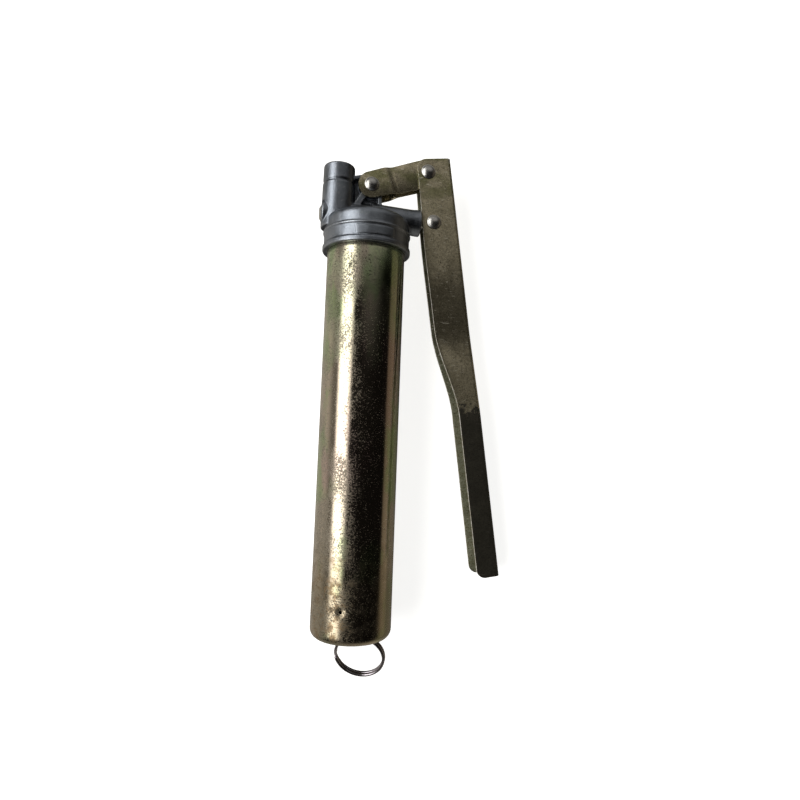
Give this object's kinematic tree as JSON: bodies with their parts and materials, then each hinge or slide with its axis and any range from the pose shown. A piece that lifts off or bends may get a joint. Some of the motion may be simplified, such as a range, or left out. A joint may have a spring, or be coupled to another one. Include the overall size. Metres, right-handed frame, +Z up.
{
  "type": "grease gun",
  "caption": "Hand grease gun with a plated steel barrel, die-cast head, link-and-lever pump, outlet boss and split pull ring.",
  "frame": {"origin": "on the bench, under the middle of the lying gun's bounding box", "axes": "+Z up from the bench; +Y along the gun towards the outlet; +X towards the lever. The gun lies as it rests: rolled 10.2 degrees to its lever side and pitched 0.85 degrees by the collar"},
  "size_m": [0.1418, 0.3867, 0.065],
  "materials": {
    "plated_barrel": "bright olive-gold chromate plating, speckled with tarnish",
    "plated_sheet": "olive-brown chromate plating on pressed sheet, worn at the edges",
    "cast_aluminium": "satin grey-blue die-cast skin",
    "bright_steel": "bright turned steel",
    "rivet_steel": "bright formed heads",
    "ring_steel": "dark nickel on spring wire",
    "dark_steel": "oiled spring wire",
    "rubber": "matt nitrile",
    "copper": "annealed copper",
    "brass": "machined"
  },
  "bodies": {
    "head": {"head": "cast_aluminium", "plunger_packing": "rubber", "packing_washer": "bright_steel", "packing_retainer": "brass", "cylinder_plug": "bright_steel", "plug_washer": "copper", "check_spring": "dark_steel", "check_retainer": "bright_steel"},
    "gasket": {"barrel_gasket": "rubber"},
    "barrel": {"barrel": "plated_barrel", "follower_spring": "dark_steel", "rod_guide": "rubber"},
    "follower": {"follower_rod": "bright_steel", "follower_front_plate": "bright_steel", "follower_cup": "rubber", "follower_back_plate": "bright_steel", "follower_nut": "bright_steel"},
    "ring": {"split_ring": "ring_steel"},
    "plunger": {"plunger": "bright_steel"},
    "lever": {"lever": "plated_sheet", "plunger_rivet": "rivet_steel", "fulcrum_rivet": "rivet_steel"},
    "link": {"link": "plated_sheet", "link_rivet": "rivet_steel"},
    "check_ball": {"check_ball": "bright_steel"}
  },
  "joints": [
    {"name": "plunger_slide", "type": "slide", "parent": "head", "child": "plunger", "axis": [0.9842, 0.0026, -0.1772], "range_m": [0, 0.02825]},
    {"name": "lever_hinge", "type": "hinge", "parent": "plunger", "child": "lever", "pos_m": [0.01387, 0.14203, 0.02417], "axis": [0.1772, -0.0147, 0.9841], "range_deg": [0, 42]},
    {"name": "link_hinge", "type": "hinge", "parent": "lever", "child": "link", "pos_m": [0.00839, 0.18061, 0.02573], "axis": [0.1772, -0.0147, 0.9841], "range_deg": [-57.98, 0]},
    {"name": "barrel_advance", "type": "slide", "parent": "head", "child": "gasket", "axis": [0, -0.9999, -0.0149], "range_m": [0, 0.006]},
    {"name": "barrel_unscrew", "type": "hinge", "parent": "gasket", "child": "barrel", "pos_m": [-0.03475, 0.1139, 0.0325], "axis": [0, -0.9999, -0.0149], "range_deg": [0, 1456]},
    {"name": "rod_slide", "type": "slide", "parent": "barrel", "child": "follower", "axis": [0, -0.9999, -0.0149], "range_m": [0, 0.195], "stiffness_N_per_m": 150, "springref_m": -0.06, "deforming": ["follower_spring"]},
    {"name": "ring_hinge", "type": "hinge", "parent": "follower", "child": "ring", "pos_m": [-0.03475, -0.16137, 0.0284], "axis": [0.9111, 0.2965, 0.2863], "range_deg": [-62, 9]},
    {"name": "check_lift", "type": "slide", "parent": "head", "child": "check_ball", "axis": [0, 0.9999, 0.0149], "range_m": [0, 0.0015], "stiffness_N_per_m": 400, "springref_m": -0.002, "deforming": ["check_spring"]}
  ],
  "couplings": [
    {"joint": "plunger_slide", "follows": "lever_hinge", "m_per_rad": 0.038268},
    {"joint": "link_hinge", "follows": "lever_hinge", "ratio": -1.3734},
    {"joint": "barrel_unscrew", "follows": "barrel_advance", "rad_per_m": 4188.8}
  ]
}
